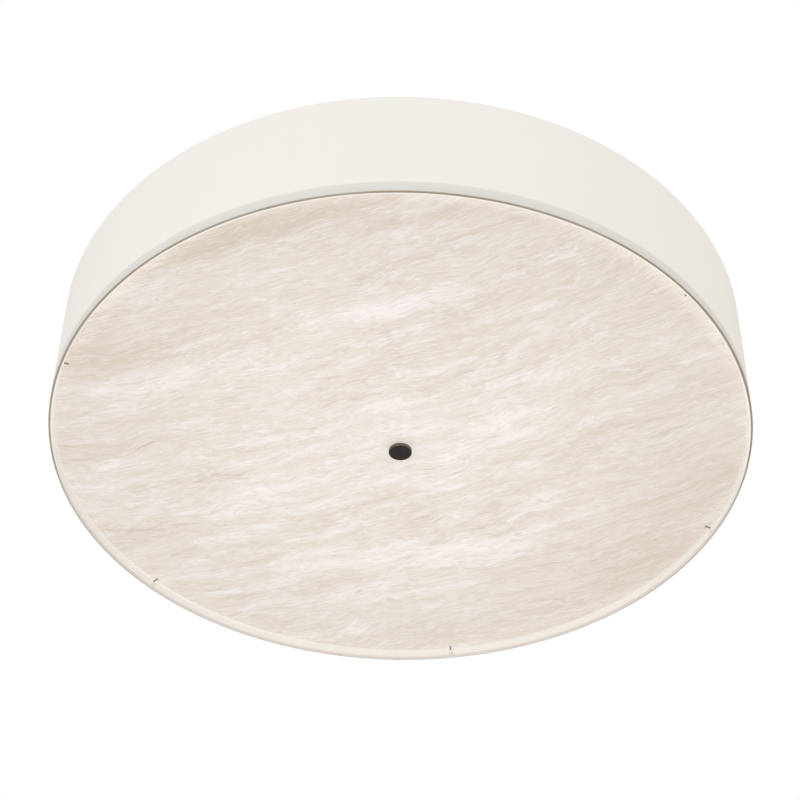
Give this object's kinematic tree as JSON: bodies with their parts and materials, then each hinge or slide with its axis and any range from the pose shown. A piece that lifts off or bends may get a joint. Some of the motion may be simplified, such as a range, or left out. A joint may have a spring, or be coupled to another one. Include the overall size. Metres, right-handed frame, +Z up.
{
  "type": "semi-flush ceiling light",
  "caption": "Semi-flush drum ceiling light: wide fabric shade, flat veined diffuser panel held by a centre finial, lamp cluster on a short stem.",
  "frame": {"origin": "centre of the mounting strap's top face, in the plane of the ceiling, midway between the two box-screw slots", "axes": "+Z up into the ceiling, +X along the strap and to the picture's right, +Y away from the picture's camera"},
  "size_m": [0.914, 0.914, 0.257],
  "materials": {
    "bronze": "satin dark bronze",
    "white_metal": "satin white enamel",
    "steel": "zinc plated",
    "brass": "drawn brass",
    "nickel": "rolled screw shell",
    "fabric": "off-white woven, lit from inside",
    "liner": "translucent styrene",
    "panel": "veined translucent acrylic, satin",
    "opal": "opal lamp envelope",
    "porcelain": "glazed white",
    "rubber": "soft black",
    "block": "moulded",
    "lead_skin": "sleeved wire"
  },
  "bodies": {
    "fixture": {"arm_nuts": "steel", "bottom_hem": "fabric", "bottom_ring": "steel", "cluster_can": "white_metal", "cluster_cover": "white_metal", "cover_screws": "steel", "finial_rod": "steel", "ground_screw": "brass", "lamp_arm_1": "white_metal", "lamp_arm_2": "white_metal", "lamp_arm_3": "white_metal", "lamp_arm_4": "white_metal", "mounting_strap": "steel", "nipple_nut": "steel", "panel_tabs": "bronze", "rod_nuts": "steel", "shade_fabric": "fabric", "shade_liner": "liner", "socket_1": "porcelain", "socket_2": "porcelain", "socket_3": "porcelain", "socket_4": "porcelain", "socket_contacts": "brass", "socket_leads": "lead_skin", "socket_shell_1": "brass", "socket_shell_2": "brass", "socket_shell_3": "brass", "socket_shell_4": "brass", "spider_arms": "bronze", "spider_hub": "bronze", "stem": "bronze", "stem_nipple": "steel", "stem_nuts": "bronze", "supply_leads": "lead_skin", "terminal_block": "block", "top_hem": "fabric", "top_ring": "steel"},
    "canopy": {"canopy": "bronze", "canopy_collar": "bronze", "collar_screw": "bronze"},
    "panel": {"diffuser_panel": "panel"},
    "washer": {"finial_washer": "rubber"},
    "finial": {"finial": "bronze"},
    "bulb_1": {"bulb_base_1": "nickel", "bulb_globe_1": "opal"},
    "bulb_2": {"bulb_base_2": "nickel", "bulb_globe_2": "opal"},
    "bulb_3": {"bulb_base_3": "nickel", "bulb_globe_3": "opal"},
    "bulb_4": {"bulb_base_4": "nickel", "bulb_globe_4": "opal"}
  },
  "joints": [
    {"name": "finial_turn", "type": "hinge", "parent": "washer", "child": "finial", "pos_m": [0, 0, -0.2471], "axis": [0, 0, -1], "range_deg": [0, 2160]},
    {"name": "washer_drop", "type": "slide", "parent": "fixture", "child": "washer", "axis": [0, 0, -1], "range_m": [0, 0.00564]},
    {"name": "panel_lift", "type": "slide", "parent": "fixture", "child": "panel", "axis": [0, 0, 1], "range_m": [0, 0.03]},
    {"name": "canopy_drop", "type": "slide", "parent": "fixture", "child": "canopy", "axis": [0, 0, -1], "range_m": [0, 0.03]},
    {"name": "bulb_1_out", "type": "slide", "parent": "fixture", "child": "bulb_1", "axis": [0.7071, 0.7071, 0], "range_m": [0, 0.03]},
    {"name": "bulb_2_out", "type": "slide", "parent": "fixture", "child": "bulb_2", "axis": [-0.7071, 0.7071, 0], "range_m": [0, 0.03]},
    {"name": "bulb_3_out", "type": "slide", "parent": "fixture", "child": "bulb_3", "axis": [-0.7071, -0.7071, 0], "range_m": [0, 0.03]},
    {"name": "bulb_4_out", "type": "slide", "parent": "fixture", "child": "bulb_4", "axis": [0.7071, -0.7071, 0], "range_m": [0, 0.03]}
  ],
  "couplings": [
    {"joint": "finial_turn", "follows": "washer_drop", "rad_per_m": 6679}
  ]
}
